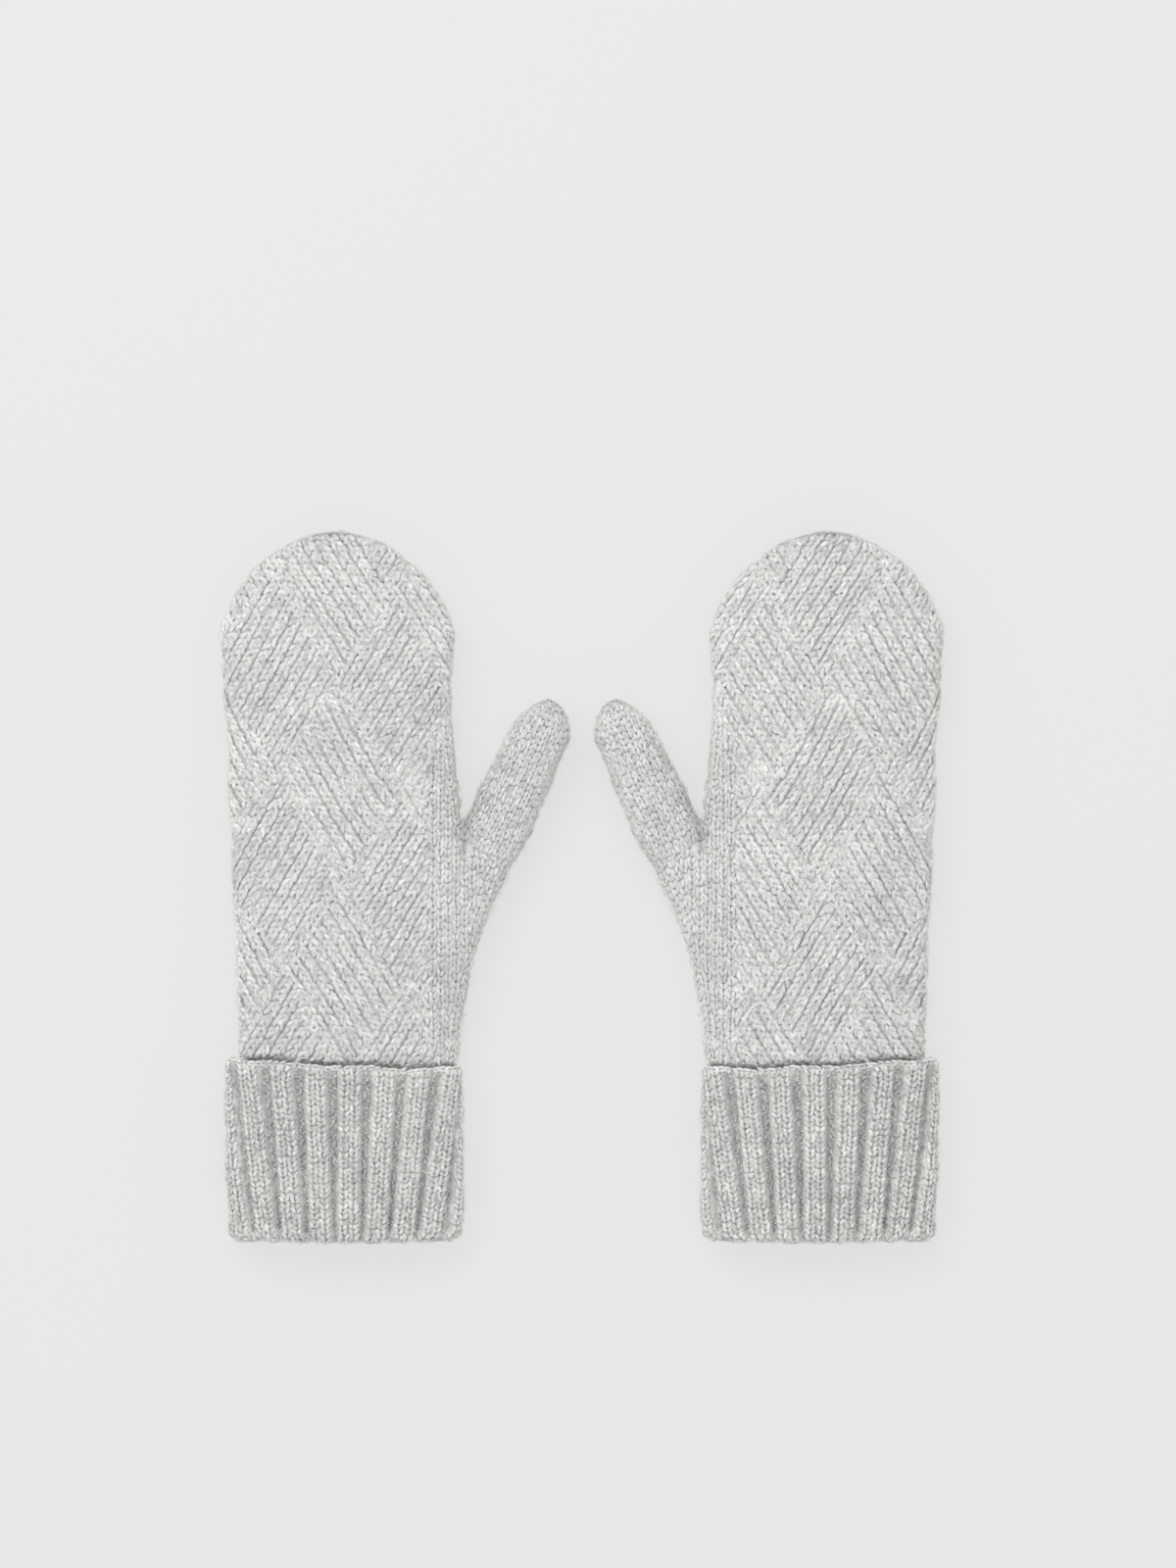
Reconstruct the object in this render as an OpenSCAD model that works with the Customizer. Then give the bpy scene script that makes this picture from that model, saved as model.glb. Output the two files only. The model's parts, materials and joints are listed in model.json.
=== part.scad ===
// A pair of knitted mittens with turned-up ribbed cuffs, lying flat, backs of the hands up.
// +X runs across the pair, +Y runs to the fingertips, +Z is up; z = 0 is the resting surface.
// Each mitten is drawn about its own centre line, with x towards its thumb.
// The right mitten is the mirror image of the left one.

/* [Pair] */
// Distance between the centre lines of the two hands
hand_spacing = 197.6; // [196:0.2:260]
// Height of the plane in which the back and palm halves meet
mid_z = 13; // [12.5:0.1:14]

/* [Hand] */
// Half width of the hand on the side away from the thumb, at the wrist
wrist_half_w = 40.6; // [39.5:0.1:42]
// Half width of the hand at the knuckles
knuckle_half_w = 48.4; // [45:0.1:49]
// Where the hand starts, above the cuff
hand_start_y = -70.4; // [-71:0.1:-70]
// Where the fingertip dome starts
dome_y = 91; // [80:1:100]
// The very end of the fingertips
tip_y = 145.4; // [140:0.1:150]
// Height of the back of the hand above the middle plane
back_rise = 11; // [10:0.1:12]
// Thickness of the knitted wall
wall = 3.4; // [2.5:0.1:3.6]

/* [Thumb] */
// Angle that the thumb leans away from the hand
thumb_lean = 25; // [20:0.5:30]
// Half width of the thumb at its root
thumb_root_half_w = 15.3; // [14:0.1:15.5]
// Half width of the thumb near its tip
thumb_tip_half_w = 13.4; // [12:0.1:14]
// Length of the thumb from its root to its tip
thumb_len = 53; // [48:0.5:54]
// Height of the thumb above the middle plane
thumb_rise = 9.6; // [8.5:0.1:10.5]
// Height at which the thumb opening in the hand starts
gusset_y = -41; // [-44:0.5:-38]
// Thickness of the knitted thumb wall
thumb_wall = 3.2; // [2.5:0.1:3.4]

/* [Cuff] */
// Shift of the cuff's centre towards the thumb
cuff_x = 1.8; // [1:0.1:2.2]
// Half width of the turned-up cuff
cuff_half_w = 49; // [48:0.1:50]
// Where the turned-up cuff ends, over the wrist
cuff_top_y = -71.2; // [-72:0.1:-71]
// Thickness of the turned-up layer
fold_wall = 3.8; // [3.5:0.1:4]
// Thickness of the inner layer
band_wall = 3; // [2.5:0.1:3.2]
// Clearance between the two layers
layer_gap = 0.5; // [0.4:0.1:0.6]
// Height of the rolled fold at the open end
roll_h = 4; // [3:0.1:4.5]
// Height of the edge chain
edge_h = 3; // [2:0.1:3.5]

/* [Hidden] */

hand_colour = [0.80, 0.80, 0.78];
cuff_colour = [0.72, 0.72, 0.70];
seam_colour = [0.66, 0.66, 0.64];

// Roundness of every cross section: 2 is an ellipse, more is squarer.
roundness = 2.4;
// Steps across a half section of the hand, and of the thumb, gusset and cuff.
hand_steps = 14;
small_steps = 10;
loop_steps = 32;

// The knitted hand narrows to this flat, which the fingertip graft covers.
cap_y = tip_y - 2.4;
// Palm half height: it passes the resting surface a little, and is flat there.
palm_drop = mid_z + 0.6;
// Rise and drop of the hand where it leaves the cuff.
wrist_rise = mid_z - fold_wall - layer_gap;
// The hand's edge on the thumb side at the wrist, at the gusset's start and above the crotch.
wrist_thumb_x = 48.2;
gusset_start_x = 52.8;
crotch_edge_x = 47.6;
// The same edge carried on over the gusset, where the hand is open towards the thumb.
open_start_x = 56;
open_end_x = 51.5;
// The seam between the hand and the gusset, and the thumb crotch's height on it.
split_x = 46;
crotch_y = 38;
seam_gap = 0.15;
// Length over which the hand's opening closes at either end.
close_len = 1.5;

// Thumb root: its centre, and the gap that lets it turn.
root = [64.2, 28.5];
turn_gap = 0.5;
// The outer edge of the gusset ends here, at the thumb's root line.
gusset_end = [77.6, 21.6];
gusset_bow = 1.4;

// The cuff's open end, and the start of its straight part.
cuff_end_y = -tip_y;
cuff_start_y = cuff_end_y + roll_h;

function mix(a, b, t) = a + (b - a) * t;
function clamp01(t) = min(1, max(0, t));
function ease(t) = let (c = clamp01(t)) c * c * (3 - 2 * c);
// Height of a rounded profile at a fraction f of its half width.
function crown(f, n = roundness) = pow(max(0, 1 - pow(min(1, abs(f)), n)), 1 / n);
function side_x(a) = sign(cos(a)) * pow(abs(cos(a)), 2 / roundness);
function side_z(a) = pow(abs(sin(a)), 2 / roundness);

// --- solids from rings of points ---

function quad(a, b, c, d) = [[a, b, c], [a, c, d]];
function join(lists) = [for (l = lists) for (item = l) item];
function turned(face) = [for (k = [len(face) - 1:-1:0]) face[k]];

// A half shell between outer and inner rings. With closed, its last ring is capped.
module half_shell(outer, inner, closed = false, flip = false) {
    n = len(outer) - 1;
    m = len(outer[0]) - 1;
    total = (n + 1) * (m + 1);
    function o(i, j) = i * (m + 1) + j;
    function q(i, j) = total + o(i, j);
    skin = join([for (i = [0:n - 1]) for (j = [0:m - 1])
        quad(o(i, j), o(i + 1, j), o(i + 1, j + 1), o(i, j + 1))]);
    lining = join([for (i = [0:n - 1]) for (j = [0:m - 1])
        quad(q(i, j), q(i, j + 1), q(i + 1, j + 1), q(i + 1, j))]);
    rims = join([for (i = [0:n - 1]) concat(
        quad(o(i + 1, 0), o(i, 0), q(i, 0), q(i + 1, 0)),
        quad(o(i, m), o(i + 1, m), q(i + 1, m), q(i, m)))]);
    start = join([for (j = [0:m - 1]) quad(o(0, j), o(0, j + 1), q(0, j + 1), q(0, j))]);
    open_end = join([for (j = [0:m - 1]) quad(o(n, j + 1), o(n, j), q(n, j), q(n, j + 1))]);
    capped_end = [
        [for (j = [m:-1:0]) o(n, j)],
        [for (j = [0:m]) q(n, j)],
        [o(n, 0), q(n, 0), q(n, m), o(n, m)]];
    faces = concat(skin, lining, rims, start, closed ? capped_end : open_end);
    polyhedron(
        points = concat(join(outer), join(inner)),
        faces = flip ? [for (f = faces) turned(f)] : faces);
}

// A closed band whose section is a list of rings, each a closed loop of points.
module loop_band(rings) {
    n = len(rings);
    m = len(rings[0]);
    faces = join([for (i = [0:n - 1]) for (j = [0:m - 1])
        let (i2 = (i + 1) % n, j2 = (j + 1) % m)
        quad(i * m + j, i2 * m + j, i2 * m + j2, i * m + j2)]);
    polyhedron(points = join(rings), faces = faces);
}

// A solid between flat loops that lie one behind the other.
module stacked_loops(rings) {
    n = len(rings) - 1;
    m = len(rings[0]);
    walls = join([for (i = [0:n - 1]) for (j = [0:m - 1])
        let (j2 = (j + 1) % m)
        quad(i * m + j, (i + 1) * m + j, (i + 1) * m + j2, i * m + j2)]);
    ends = [[for (j = [0:m - 1]) j], [for (j = [m - 1:-1:0]) n * m + j]];
    polyhedron(points = join(rings), faces = concat(walls, ends));
}

// --- hand ---

// Width and thickness left of the hand's straight part at a height y.
function dome_w(y) = y < dome_y ? 1 : crown((y - dome_y) / (tip_y - dome_y), 2.05);
function dome_t(y) = crown(max(0, y - dome_y - 9) / (tip_y - dome_y - 9), 2.2);
function outer_half(y) =
    mix(wrist_half_w, knuckle_half_w, (y - hand_start_y) / (100 - hand_start_y)) * dome_w(y);
function thumb_half(y) =
    y <= gusset_y ? mix(wrist_thumb_x, gusset_start_x, (y - hand_start_y) / (gusset_y - hand_start_y))
    : y < crotch_y ? mix(open_start_x, open_end_x, pow(clamp01((y - gusset_y) / (crotch_y - gusset_y)), 3))
    : crotch_edge_x * dome_w(y);
function is_open(y) = y > gusset_y && y < crotch_y;
function rise(y) = mix(wrist_rise, back_rise, ease((y - hand_start_y) / 40)) * dome_t(y);
function drop(y) = mix(wrist_rise, palm_drop, ease((y - hand_start_y) / 36)) * dome_t(y);

panel_ys = concat(
    [for (t = [0:0.34:0.68]) mix(hand_start_y, gusset_y, t)],
    [gusset_y],
    [for (k = [0:5]) mix(gusset_y + close_len, crotch_y - close_len, k / 5)],
    [for (k = [0:3]) mix(crotch_y, dome_y, k / 3)]);
fingertip_ys = [for (a = [0:15:90]) mix(dome_y, cap_y, sin(a))];

// One ring of the hand. dir is 1 for the back and -1 for the palm; thin is taken off all round.
function hand_ring(y, dir, thin) =
    let (far = outer_half(y) - thin,
         near = thumb_half(y) - thin,
         high = (dir > 0 ? rise(y) : drop(y)) - thin,
         a_end = is_open(y) ? acos(pow(split_x / near, roundness / 2)) : 0,
         inner_dome = (cap_y - wall - dome_y) / (cap_y - dome_y),
         py = thin > 0 && y > dome_y ? dome_y + (y - dome_y) * inner_dome : y)
    [for (j = [0:hand_steps])
        let (a = 180 - (180 - a_end) * j / hand_steps,
             c = side_x(a))
        [c * (c < 0 ? far : near), py, max(0, mid_z + dir * high * side_z(a))]];

module hand_half(ys, dir, closed) {
    half_shell(
        [for (y = ys) hand_ring(y, dir, 0)],
        [for (y = ys) hand_ring(y, dir, wall)],
        closed = closed, flip = dir < 0);
}

module back_panel() { color(hand_colour) hand_half(panel_ys, 1, false); }

module palm_panel() { color(hand_colour) hand_half(panel_ys, -1, false); }

module fingertip_back() { color(hand_colour) hand_half(fingertip_ys, 1, true); }

module fingertip_palm() { color(hand_colour) hand_half(fingertip_ys, -1, true); }

// The grafted stitches that close the fingertips: a soft bar across the flat end of the hand.
module tip_graft() {
    steps = 4;
    color(seam_colour) stacked_loops(
        [for (k = [0:steps])
            let (t = k / steps, s = sqrt(1 - 0.8 * t * t))
            [for (j = [0:loop_steps - 1])
                let (a = -360 * j / loop_steps)
                [side_x(a) * s * outer_half(cap_y),
                 mix(cap_y, tip_y, t),
                 mid_z + sign(sin(a)) * side_z(a) * s * (sin(a) > 0 ? rise(cap_y) : drop(cap_y))]]]);
}

// --- thumb gusset ---

gusset_rings = 7;
gusset_low_y = gusset_y + close_len + 0.3;
gusset_high_y = crotch_y - close_len - 0.3;

// Height of the hand's wall over the seam line, above or below the middle plane.
function seam_height(y, dir, thin) =
    ((dir > 0 ? rise(y) : drop(y)) - thin)
    * side_z(acos(pow(split_x / (thumb_half(y) - thin), roundness / 2)));

function gusset_edge(t) = [
    gusset_start_x + (gusset_end[0] - gusset_start_x) * pow(t, gusset_bow),
    mix(gusset_low_y, gusset_end[1], t)];

function gusset_ring(k, dir, thin) =
    let (t = k / gusset_rings,
         start = [split_x + seam_gap, mix(gusset_low_y, gusset_high_y, t)],
         edge = gusset_edge(t),
         run = edge - start,
         end = edge - run * thin / norm(run),
         seam_h = seam_height(start[1], dir, thin),
         tube_h = ((dir > 0 ? thumb_rise : palm_drop) - thin) * ease(t))
    [for (j = [0:small_steps])
        let (f = sin(90 * j / small_steps),
             p = start + (end - start) * f,
             h = pow(pow(seam_h * crown(f), 4) + pow(tube_h * crown(2 * f - 1), 4), 0.25))
        [p[0], p[1], max(0, mid_z + dir * h)]];

module gusset_half(dir) {
    half_shell(
        [for (k = [0:gusset_rings]) gusset_ring(k, dir, 0)],
        [for (k = [0:gusset_rings]) gusset_ring(k, dir, thumb_wall)],
        flip = dir < 0);
}

module gusset_back() { color(hand_colour) gusset_half(1); }

module gusset_palm() { color(hand_colour) gusset_half(-1); }

// --- thumb ---

thumb_dome = 15;
thumb_cap = thumb_len - 1.2;
thumb_straight = thumb_len - thumb_dome;
thumb_ss = concat(
    [for (k = [0:3]) mix(turn_gap / 2, thumb_straight, k / 4)],
    [for (a = [0:18:90]) mix(thumb_straight, thumb_cap, sin(a))]);

function thumb_dome_at(s) = crown(max(0, s - thumb_straight) / thumb_dome, 2);
function thumb_half_w(s) =
    mix(thumb_root_half_w, thumb_tip_half_w, clamp01(s / thumb_straight)) * thumb_dome_at(s);

function thumb_ring(s, dir, thin) =
    let (w = thumb_half_w(s) - thin,
         h = (dir > 0 ? thumb_rise : palm_drop) * thumb_dome_at(s) - thin,
         inner_dome = (thumb_cap - thumb_wall - thumb_straight) / (thumb_cap - thumb_straight),
         py = thin > 0 && s > thumb_straight ? thumb_straight + (s - thumb_straight) * inner_dome : s)
    [for (j = [0:small_steps])
        let (a = 180 - 180 * j / small_steps)
        [side_x(a) * w, py, max(0, mid_z + dir * h * side_z(a))]];

module at_thumb() {
    translate([root[0], root[1], 0])
        rotate([0, 0, -thumb_lean])
            children();
}

module thumb_half_shell(dir) {
    at_thumb() half_shell(
        [for (s = thumb_ss) thumb_ring(s, dir, 0)],
        [for (s = thumb_ss) thumb_ring(s, dir, thumb_wall)],
        closed = true, flip = dir < 0);
}

module thumb_back() { color(hand_colour) thumb_half_shell(1); }

module thumb_palm() { color(hand_colour) thumb_half_shell(-1); }

// The last stitches drawn together: a small round knot on the thumb's flat end.
module thumb_gather() {
    gather_r = 2.6;
    color(seam_colour)
        at_thumb() translate([0, thumb_cap, mid_z]) rotate([-90, 0, 0])
            rotate_extrude($fn = 24) intersection() {
                circle(r = gather_r, $fn = 24);
                square([gather_r, gather_r]);
            }
}

// --- cuff ---

fold_inner_w = cuff_half_w - fold_wall;
fold_inner_h = mid_z - fold_wall;
band_w = fold_inner_w - layer_gap;
band_h = fold_inner_h - layer_gap;

function cuff_point(a, w, h) = [side_x(a) * w, sign(sin(a)) * side_z(a) * h];

// Half a flattened tube between two heights, w and h being its outer half sizes.
module cuff_half(dir, y0, y1, w, h, thick) {
    outer = [for (j = [0:small_steps]) cuff_point(dir * 180 * j / small_steps, w, h)];
    inner = [for (j = [small_steps:-1:0])
        cuff_point(dir * 180 * j / small_steps, w - thick, h - thick)];
    translate([cuff_x, y1, mid_z]) rotate([90, 0, 0])
        linear_extrude(height = y1 - y0) polygon(concat(outer, inner));
}

module fold_half(dir) {
    cuff_half(dir, cuff_start_y, cuff_top_y - edge_h, cuff_half_w, mid_z, fold_wall);
}

module band_half(dir) {
    cuff_half(dir, cuff_start_y + layer_gap, hand_start_y, band_w, band_h, band_wall);
}

module cuff_fold_back() { color(cuff_colour) fold_half(1); }

module cuff_fold_palm() { color(cuff_colour) fold_half(-1); }

module cuff_band_back() { color(seam_colour) band_half(1); }

module cuff_band_palm() { color(seam_colour) band_half(-1); }

// A loop around the cuff, thin being how far it lies inside the cuff's outer face.
function cuff_loop(y, thin) =
    [for (j = [0:loop_steps - 1])
        let (p = cuff_point(360 * j / loop_steps, cuff_half_w - thin, mid_z - thin))
        [cuff_x + p[0], y, mid_z + p[1]]];

// The fold at the open end, round from the outer layer into the inner one.
module cuff_roll() {
    across = fold_wall + layer_gap + band_wall;
    steps = 4;
    color(cuff_colour) loop_band(
        [for (k = [0:steps])
            let (a = 180 * k / steps)
            cuff_loop(cuff_start_y - roll_h * sin(a), across * (1 - cos(a)) / 2)]);
}

// The chain of the cast-on edge, round over its top.
module cuff_edge() {
    base_y = cuff_top_y - edge_h;
    color(seam_colour) loop_band(
        [cuff_loop(base_y, 0),
         cuff_loop(base_y, fold_wall),
         cuff_loop(mix(base_y, cuff_top_y, 0.6), fold_wall),
         cuff_loop(cuff_top_y, fold_wall * 0.6),
         cuff_loop(cuff_top_y, fold_wall * 0.4),
         cuff_loop(mix(base_y, cuff_top_y, 0.6), 0)]);
}

// --- the pair ---

module left() { translate([-hand_spacing / 2, 0, 0]) children(); }

module right() { mirror([1, 0, 0]) left() children(); }

left() back_panel();  // left_back_panel
left() palm_panel();  // left_palm_panel
left() fingertip_back();  // left_fingertip_back
left() fingertip_palm();  // left_fingertip_palm
left() tip_graft();  // left_tip_graft
left() gusset_back();  // left_gusset_back
left() gusset_palm();  // left_gusset_palm
left() cuff_band_back();  // left_cuff_band_back
left() cuff_band_palm();  // left_cuff_band_palm
left() thumb_back();  // left_thumb_back
left() thumb_palm();  // left_thumb_palm
left() thumb_gather();  // left_thumb_gather
left() cuff_fold_back();  // left_cuff_fold_back
left() cuff_fold_palm();  // left_cuff_fold_palm
left() cuff_roll();  // left_cuff_roll
left() cuff_edge();  // left_cuff_edge
right() back_panel();  // right_back_panel
right() palm_panel();  // right_palm_panel
right() fingertip_back();  // right_fingertip_back
right() fingertip_palm();  // right_fingertip_palm
right() tip_graft();  // right_tip_graft
right() gusset_back();  // right_gusset_back
right() gusset_palm();  // right_gusset_palm
right() cuff_band_back();  // right_cuff_band_back
right() cuff_band_palm();  // right_cuff_band_palm
right() thumb_back();  // right_thumb_back
right() thumb_palm();  // right_thumb_palm
right() thumb_gather();  // right_thumb_gather
right() cuff_fold_back();  // right_cuff_fold_back
right() cuff_fold_palm();  // right_cuff_fold_palm
right() cuff_roll();  // right_cuff_roll
right() cuff_edge();  // right_cuff_edge
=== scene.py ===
import json
import math

import bpy
import numpy as np
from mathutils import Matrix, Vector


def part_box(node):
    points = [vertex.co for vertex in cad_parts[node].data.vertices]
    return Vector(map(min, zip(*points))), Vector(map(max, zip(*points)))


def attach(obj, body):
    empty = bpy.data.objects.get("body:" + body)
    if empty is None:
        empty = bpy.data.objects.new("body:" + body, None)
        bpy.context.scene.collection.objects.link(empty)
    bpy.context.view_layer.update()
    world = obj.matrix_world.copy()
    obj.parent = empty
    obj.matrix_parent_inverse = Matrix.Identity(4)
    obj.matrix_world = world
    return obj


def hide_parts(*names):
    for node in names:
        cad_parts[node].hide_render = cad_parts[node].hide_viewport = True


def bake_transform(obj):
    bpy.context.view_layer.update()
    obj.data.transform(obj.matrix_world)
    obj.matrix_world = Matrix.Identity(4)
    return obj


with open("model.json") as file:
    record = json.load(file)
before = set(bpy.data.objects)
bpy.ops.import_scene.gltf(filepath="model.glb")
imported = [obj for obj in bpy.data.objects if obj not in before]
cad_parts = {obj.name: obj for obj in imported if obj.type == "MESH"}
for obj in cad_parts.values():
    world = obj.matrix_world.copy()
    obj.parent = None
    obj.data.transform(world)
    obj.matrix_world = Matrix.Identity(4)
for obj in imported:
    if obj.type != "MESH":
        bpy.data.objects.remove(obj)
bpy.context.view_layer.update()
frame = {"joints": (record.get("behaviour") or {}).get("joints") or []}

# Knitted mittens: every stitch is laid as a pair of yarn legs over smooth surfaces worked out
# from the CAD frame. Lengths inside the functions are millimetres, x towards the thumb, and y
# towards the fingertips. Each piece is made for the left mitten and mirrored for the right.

rng = np.random.default_rng(20)
MM = 0.001


# --- places, from the frame ---

def box_mm(node):
    """The lowest and highest corners of a CAD node, in millimetres."""
    low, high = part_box(node)
    return np.array(low) / MM, np.array(high) / MM


tip_low, tip_high = box_mm("left_fingertip_back")
fold_low, fold_high = box_mm("left_cuff_fold_back")
roll_low, _ = box_mm("left_cuff_roll")
_, edge_high = box_mm("left_cuff_edge")
band_low, band_high = box_mm("left_cuff_band_back")
panel_low, panel_high = box_mm("left_back_panel")
_, graft_high = box_mm("left_tip_graft")
hinge = next(j for j in frame["joints"] if j["name"] == "left_thumb_swing")

CENTRE_X = (tip_low[0] + tip_high[0]) / 2
MID_Z = fold_low[2]
HAND_Y = panel_low[1]
TIP_Y = graft_high[1]
BACK_RISE = panel_high[2] - MID_Z
CUFF_X = (fold_low[0] + fold_high[0]) / 2 - CENTRE_X
CUFF_W = (fold_high[0] - fold_low[0]) / 2
CUFF_H = fold_high[2] - fold_low[2]
CUFF_TOP = edge_high[1]
CUFF_END = roll_low[1]
BAND_W = (band_high[0] - band_low[0]) / 2
BAND_H = band_high[2] - band_low[2]
BAND_END = band_low[1]
CROTCH = np.array([hinge["pos_m"][0] / MM - CENTRE_X, hinge["pos_m"][1] / MM])

# The knitting's smooth surface lies this far inside the CAD surface, and yarn stands up from it.
YARN = 1.5
# How square the knitted tubes' cross-sections are: 2 is an ellipse.
ROUND = 2.4
# The stretch over which the fingertips round off, and where it starts.
DOME_LEN = 46
DOME_Y = TIP_Y - DOME_LEN
# The hand's knitting goes on down under the cuff's edge, to here.
HAND_START = HAND_Y - 7.0

# The thumb leans away from the hand. Places along it are measured from its root, at the crotch.
LEAN = math.radians(25)
THUMB_AXIS = np.array([math.sin(LEAN), math.cos(LEAN)])
THUMB_SIDE = np.array([math.cos(LEAN), -math.sin(LEAN)])
THUMB_W = 15.2
THUMB_TIP_W = 13.5
THUMB_LEN = 53.0
THUMB_DOME = 15.0
THUMB_RISE = 9.8
THUMB_ROOT = CROTCH + THUMB_SIDE * (THUMB_W + 0.2)
# The thumb's surface begins inside the hand. The hand's own knitting ends at the seam.
THUMB_START = -22.0
THUMB_SEAM = -13.0

# The turned-up cuff: its ribs all round and how far they are turned, the rolled fold, and the
# stretch that returns inside the opening.
RIBS = 16
RIB_SHIFT = 0.2
RIB_DEPTH = 3.2
ROLL_R = 3.5
TURN = math.pi * ROLL_R
RETURN = 16.0
CUFF_FOLD = CUFF_END + ROLL_R + 3.4
CUFF_RUN = RETURN + TURN + CUFF_TOP - CUFF_FOLD
# Where the rolled fold turns over, as a length along the cuff's own knitting.
FOLD_L = RETURN + TURN / 2
# The hand fills the cuff's opening between these places across it.
OPENING_X = (-40.5, 48.5)


# --- small helpers ---

def mix(a, b, t):
    """From a to b as t goes from 0 to 1."""
    return a + (b - a) * t


def ease(t):
    """A soft step from 0 to 1."""
    t = np.clip(t, 0, 1)
    return t * t * (3 - 2 * t)


def crown(f, n=ROUND):
    """Height of a rounded profile at a fraction f of its half width."""
    return np.maximum(0, 1 - np.minimum(1, np.abs(f)) ** n) ** (1 / n)


def unit(v):
    """Vectors of length 1 in the same directions."""
    return v / np.maximum(np.linalg.norm(v, axis=-1, keepdims=True), 1e-9)


def ripple(s, l, size, seed):
    """A gentle, even unevenness from -1 to 1, with waves of about that size."""
    waves = np.random.default_rng(seed)
    total = 0
    for _ in range(5):
        turn, phase = waves.uniform(0, 2 * math.pi, 2)
        rate = 2 * math.pi / size * waves.uniform(0.7, 1.5)
        total = total + np.sin((s * math.cos(turn) + l * math.sin(turn)) * rate + phase)
    return total / 3.2


# --- the smooth shapes ---

# Loops sampled along each surface, and points round each loop: one a degree, ends included.
SAMPLES = 500
ANGLES = 361


class Surface:
    """A smooth tube as a table of points: rows of 1 mm along it, columns of 1 mm around it.

    A place on it is (s, l): s is the arc length from its reference line, l the length along.
    """

    def __init__(self, ring, start, end, reach):
        values = np.linspace(start, end, SAMPLES)
        angles = np.linspace(0, 2 * math.pi, ANGLES)
        loops = np.array([ring(v, angles) for v in values])
        run = np.linalg.norm(np.diff(loops[:, 0], axis=0), axis=1)
        length = np.concatenate([[0], np.cumsum(run)])
        self.length = length[-1]
        self.rows = np.linspace(0, self.length, int(self.length) + 1)
        self.step = self.rows[1]
        flat = loops.reshape(SAMPLES, -1)
        self.loops = np.array([np.interp(self.rows, length, c) for c in flat.T]).T
        self.loops = self.loops.reshape(len(self.rows), ANGLES, 3)
        self.reach = reach
        self.s = np.arange(-reach, reach + 1.0)
        self.measure()

    def measure(self):
        """Fills the table, and the arc lengths all round and to the right and left edges."""
        rows = len(self.rows)
        self.points = np.empty((rows, len(self.s), 3))
        self.girth, self.right, self.left = np.empty(rows), np.empty(rows), np.empty(rows)
        for i, loop in enumerate(self.loops):
            arc = np.concatenate([[0], np.cumsum(np.linalg.norm(np.diff(loop, axis=0), axis=1))])
            self.girth[i], self.right[i], self.left[i] = arc[-1], arc[90], arc[-1] - arc[270]
            wrapped = np.mod(self.s, max(arc[-1], 1e-6))
            for axis in range(3):
                self.points[i, :, axis] = np.interp(wrapped, arc, loop[:, axis])
        around = np.gradient(self.points, axis=1)
        along = np.gradient(self.points, axis=0)
        self.normals = unit(np.cross(around, along))

    def at(self, s, l):
        """Points and outward normals at arrays of places."""
        i = np.clip(l / self.step, 0, len(self.rows) - 1.001)
        j = np.clip(s + self.reach, 0, len(self.s) - 1.001)
        i0, j0 = i.astype(int), j.astype(int)
        fi, fj = (i - i0)[..., None], (j - j0)[..., None]

        def blend(table):
            low = mix(table[i0, j0], table[i0, j0 + 1], fj)
            high = mix(table[i0 + 1, j0], table[i0 + 1, j0 + 1], fj)
            return mix(low, high, fi)

        return blend(self.points), unit(blend(self.normals))

    def girth_at(self, l):
        return np.interp(l, self.rows, self.girth)

    def right_at(self, l):
        return np.interp(l, self.rows, self.right)

    def left_at(self, l):
        return np.interp(l, self.rows, self.left)


def gusset_edge(y):
    """The widening edge between the wrist and the thumb."""
    grown = np.maximum(0, (y + 40) / 62)
    return 52.8 + 25 * grown ** 1.4 + 0.14 * np.minimum(0, y + 40)


def dome(y, n=1.85, late=0.0):
    """The fingertips' rounding: 1 below it, and 0 at the very tip."""
    return crown(np.maximum(0, y - DOME_Y - late) / (TIP_Y - YARN - DOME_Y - late), n)


def outer_half(y):
    """Half width away from the thumb, before the fingertip's rounding."""
    half = np.interp(y, [HAND_Y, -10, 2, 34, 56, 78, DOME_Y],
                     [40.8, 42.9, 44.0, 45.2, 45.0, 47.4, 48.2])
    return half + 1.6 * np.exp(-((y - 104.5) / 5) ** 2)


def own_half(y):
    """Half width on the thumb's side, without the gusset."""
    return np.interp(y, [HAND_Y, -40, 20, 30, 38, 56, 72, 84, DOME_Y],
                     [48.6, 52.0, 51.4, 50.6, 48.9, 47.2, 46.0, 45.8, 47.0])


def thumb_half(y):
    """Half width on the thumb's side: the gusset's edge, then back inside the thumb's root."""
    seam = THUMB_ROOT[0] + (THUMB_SEAM + 2 - (y - THUMB_ROOT[1]) * THUMB_AXIS[1]) / THUMB_AXIS[0]
    return np.minimum(gusset_edge(y), np.maximum(own_half(y), seam))


def cuff_wave(side):
    """How far the cuff's edge runs up or down, from its side away from the thumb (-1) to 1."""
    return 2.0 - 5.6 * (0.5 + 0.5 * side) + 1.9 * np.maximum(0, side) ** 2 + 0.4 * np.sin(side * 9)


def above_cuff(x, y):
    """How far a place on the hand is above the cuff's edge."""
    return y - CUFF_TOP - cuff_wave(np.clip((x - CUFF_X) / CUFF_W, -1, 1))


def wrist(x, y, low, high):
    """A thickness that rises steeply out of the cuff, then gently over the wrist."""
    sharp = ease((above_cuff(x, y) - 1.8) / 3.0) ** 0.7
    return mix(low, high - 1.3, sharp) + 1.3 * ease((y - HAND_Y) / 38)


def tip_shift(y):
    """The fingertips lean a little away from the thumb."""
    return -1.2 * ease((y - DOME_Y) / DOME_LEN)


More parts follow.
